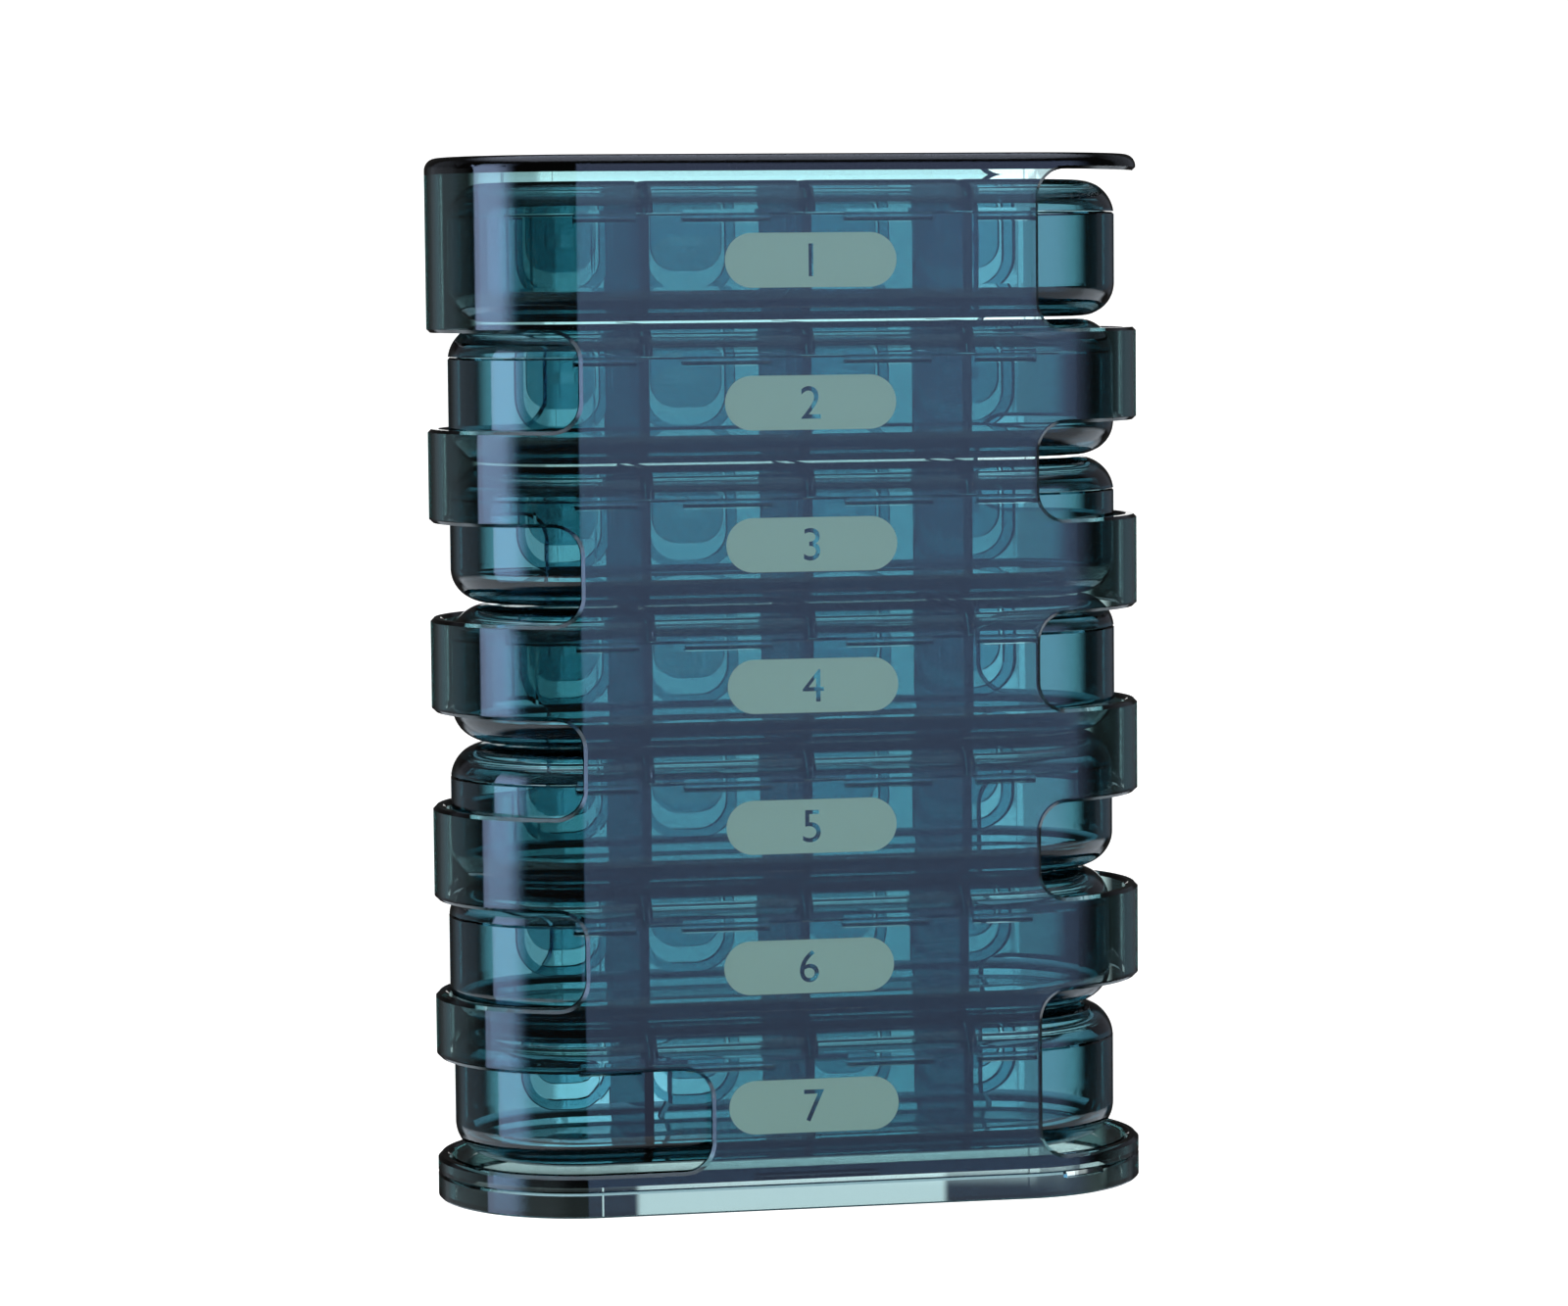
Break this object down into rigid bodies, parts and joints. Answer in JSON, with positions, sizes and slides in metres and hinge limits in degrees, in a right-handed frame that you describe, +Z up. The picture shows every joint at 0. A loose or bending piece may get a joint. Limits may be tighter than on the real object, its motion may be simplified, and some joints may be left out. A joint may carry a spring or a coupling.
{
  "type": "weekly pill box",
  "caption": "Stadium-shaped clear case that stores a stack of day boxes, each with lidded compartments; boxes load at the top and slide out at the bottom.",
  "frame": {"origin": "centre of the base, on the surface that the box stands on", "axes": "+Z up, the case's longest way; +X along the stadium, towards the mouths; the labelled front faces -Y"},
  "size_m": [0.108, 0.0436, 0.156],
  "materials": {
    "case_clear": "gloss",
    "base_clear": "gloss",
    "tray_clear": "gloss",
    "lid_clear": "gloss",
    "label_print": "satin print"
  },
  "bodies": {
    "case": {"case_shell": "case_clear", "base_cover": "base_clear"},
    "day_1_box": {"day_1_tray": "tray_clear"},
    "day_2_box": {"day_2_tray": "tray_clear", "day_2_lid_morning": "lid_clear", "day_2_lid_noon": "lid_clear", "day_2_lid_evening": "lid_clear", "day_2_lid_night": "lid_clear"},
    "day_3_box": {"day_3_tray": "tray_clear", "day_3_lid_morning": "lid_clear", "day_3_lid_noon": "lid_clear", "day_3_lid_evening": "lid_clear", "day_3_lid_night": "lid_clear"},
    "day_4_box": {"day_4_tray": "tray_clear", "day_4_lid_morning": "lid_clear", "day_4_lid_noon": "lid_clear", "day_4_lid_evening": "lid_clear", "day_4_lid_night": "lid_clear"},
    "day_5_box": {"day_5_tray": "tray_clear", "day_5_lid_morning": "lid_clear", "day_5_lid_noon": "lid_clear", "day_5_lid_evening": "lid_clear", "day_5_lid_night": "lid_clear"},
    "day_6_box": {"day_6_tray": "tray_clear", "day_6_lid_morning": "lid_clear", "day_6_lid_noon": "lid_clear", "day_6_lid_evening": "lid_clear", "day_6_lid_night": "lid_clear"},
    "day_7_box": {"day_7_tray": "tray_clear", "day_7_lid_morning": "lid_clear", "day_7_lid_noon": "lid_clear", "day_7_lid_evening": "lid_clear", "day_7_lid_night": "lid_clear"},
    "day_1_morning_lid": {"day_1_lid_morning": "lid_clear"},
    "day_1_noon_lid": {"day_1_lid_noon": "lid_clear"},
    "day_1_evening_lid": {"day_1_lid_evening": "lid_clear"},
    "day_1_night_lid": {"day_1_lid_night": "lid_clear"}
  },
  "joints": [
    {"name": "day_1_slide", "type": "slide", "parent": "case", "child": "day_1_box", "axis": [1, 0, 0], "range_m": [-0.00115, 0.106]},
    {"name": "day_2_slide", "type": "slide", "parent": "case", "child": "day_2_box", "axis": [1, 0, 0], "range_m": [-0.00095, 0.00135]},
    {"name": "day_3_slide", "type": "slide", "parent": "case", "child": "day_3_box", "axis": [1, 0, 0], "range_m": [-0.00095, 0.00135]},
    {"name": "day_4_slide", "type": "slide", "parent": "case", "child": "day_4_box", "axis": [1, 0, 0], "range_m": [-0.00095, 0.00135]},
    {"name": "day_5_slide", "type": "slide", "parent": "case", "child": "day_5_box", "axis": [1, 0, 0], "range_m": [-0.00055, 0.00175]},
    {"name": "day_6_slide", "type": "slide", "parent": "case", "child": "day_6_box", "axis": [1, 0, 0], "range_m": [0, 0.0023]},
    {"name": "day_7_slide", "type": "slide", "parent": "case", "child": "day_7_box", "axis": [1, 0, 0], "range_m": [-0.00055, 0.106]},
    {"name": "day_1_morning_lid_hinge", "type": "hinge", "parent": "day_1_box", "child": "day_1_morning_lid", "pos_m": [-0.02992, -0.0186, 0.1468], "axis": [1, 0, 0], "range_deg": [0, 2]},
    {"name": "day_1_noon_lid_hinge", "type": "hinge", "parent": "day_1_box", "child": "day_1_noon_lid", "pos_m": [-0.01207, -0.0186, 0.1468], "axis": [1, 0, 0], "range_deg": [0, 2]},
    {"name": "day_1_evening_lid_hinge", "type": "hinge", "parent": "day_1_box", "child": "day_1_evening_lid", "pos_m": [0.01207, -0.0186, 0.1468], "axis": [1, 0, 0], "range_deg": [0, 2]},
    {"name": "day_1_night_lid_hinge", "type": "hinge", "parent": "day_1_box", "child": "day_1_night_lid", "pos_m": [0.02992, -0.0186, 0.1468], "axis": [1, 0, 0], "range_deg": [0, 2]}
  ]
}
